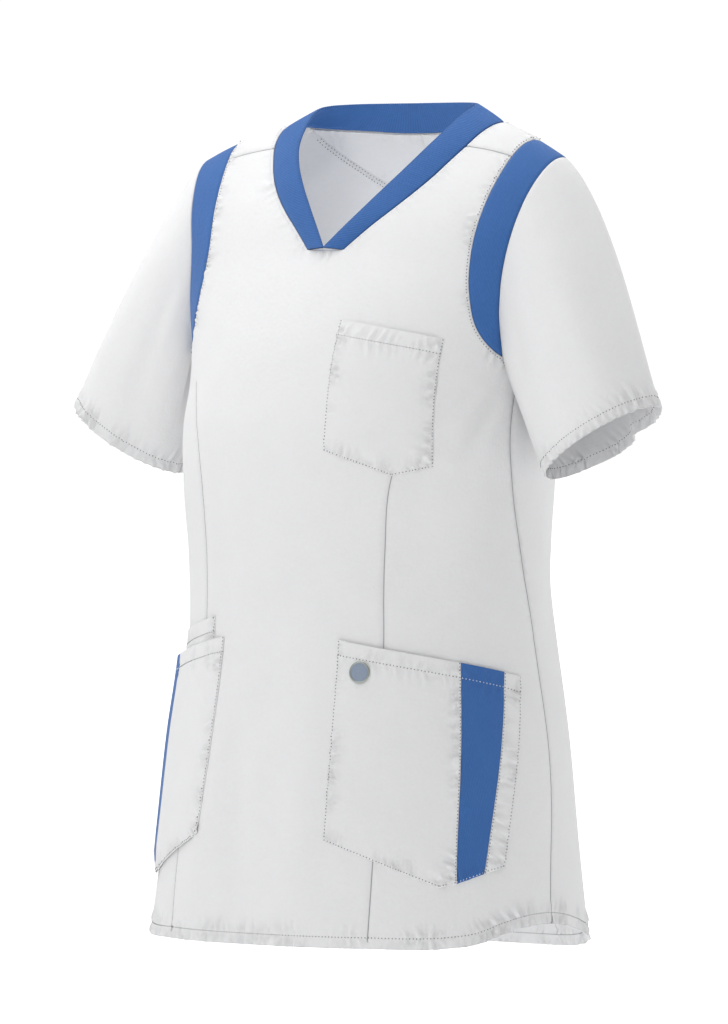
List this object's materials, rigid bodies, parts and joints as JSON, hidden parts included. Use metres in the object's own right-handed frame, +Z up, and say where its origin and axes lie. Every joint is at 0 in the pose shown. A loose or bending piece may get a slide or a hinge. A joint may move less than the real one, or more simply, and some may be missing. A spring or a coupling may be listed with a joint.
{
  "type": "medical tunic",
  "caption": "Short-sleeved V-neck medical tunic, filled out as worn, with a ribbed neck band, contrast strips round the armholes and patch pockets.",
  "frame": {"origin": "between the shoulders, on the centre plane at the height of the shoulder line, where the wearer carries the tunic", "axes": "+Z up along the wearer's height, the front faces -Y, +X is the wearer's left"},
  "size_m": [0.6408, 0.3236, 0.7386],
  "materials": {
    "white_twill": "matt woven twill",
    "blue_twill": "matt woven twill",
    "blue_rib": "matt ribbed knit",
    "badge_grey": "satin"
  },
  "bodies": {
    "root": {"front": "white_twill", "back": "white_twill", "back_neck_facing": "white_twill", "sleeve_left": "white_twill", "sleeve_right": "white_twill", "shoulder_insert_left": "blue_twill", "shoulder_insert_right": "blue_twill", "neck_band": "blue_rib", "chest_pocket": "white_twill", "pocket_left": "white_twill", "pocket_right": "white_twill", "pocket_stripe_left": "blue_twill", "pocket_stripe_right": "blue_twill", "pocket_edge_left": "white_twill", "pocket_edge_right": "white_twill", "rear_pocket_right": "white_twill", "badge": "badge_grey"}
  },
  "joints": []
}
